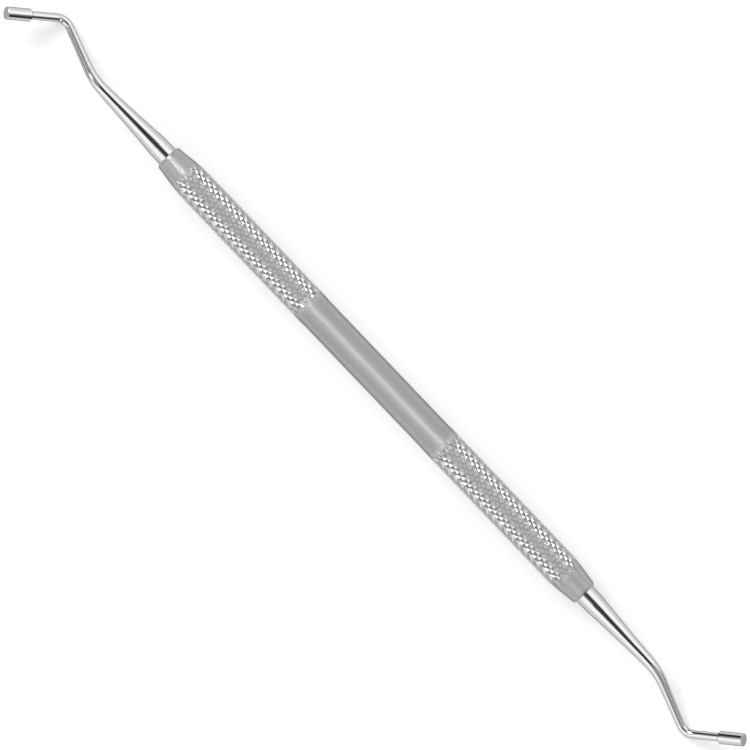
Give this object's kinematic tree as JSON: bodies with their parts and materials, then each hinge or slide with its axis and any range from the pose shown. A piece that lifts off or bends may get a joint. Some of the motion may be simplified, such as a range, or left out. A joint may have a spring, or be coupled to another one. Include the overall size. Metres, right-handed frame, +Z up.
{
  "type": "double-ended dental plugger",
  "caption": "Hand instrument with a knurled steel handle and a bent, polished, flat-ended packing tip at each end.",
  "frame": {"origin": "on the table under the middle of the whole, the instrument lying as it comes to rest, with the handle's axis 0.2 mm to +Y of it", "axes": "+X along the handle to the right working end, +Z up from the table, +Y to the side that the right tip hooks to"},
  "size_m": [0.171, 0.0082, 0.0065],
  "materials": {
    "satin_steel": "fine satin, turned and knurled",
    "polished_steel": "mirror polished"
  },
  "bodies": {
    "root": {"handle": "satin_steel", "left_working_end": "polished_steel", "right_working_end": "polished_steel"}
  },
  "joints": []
}
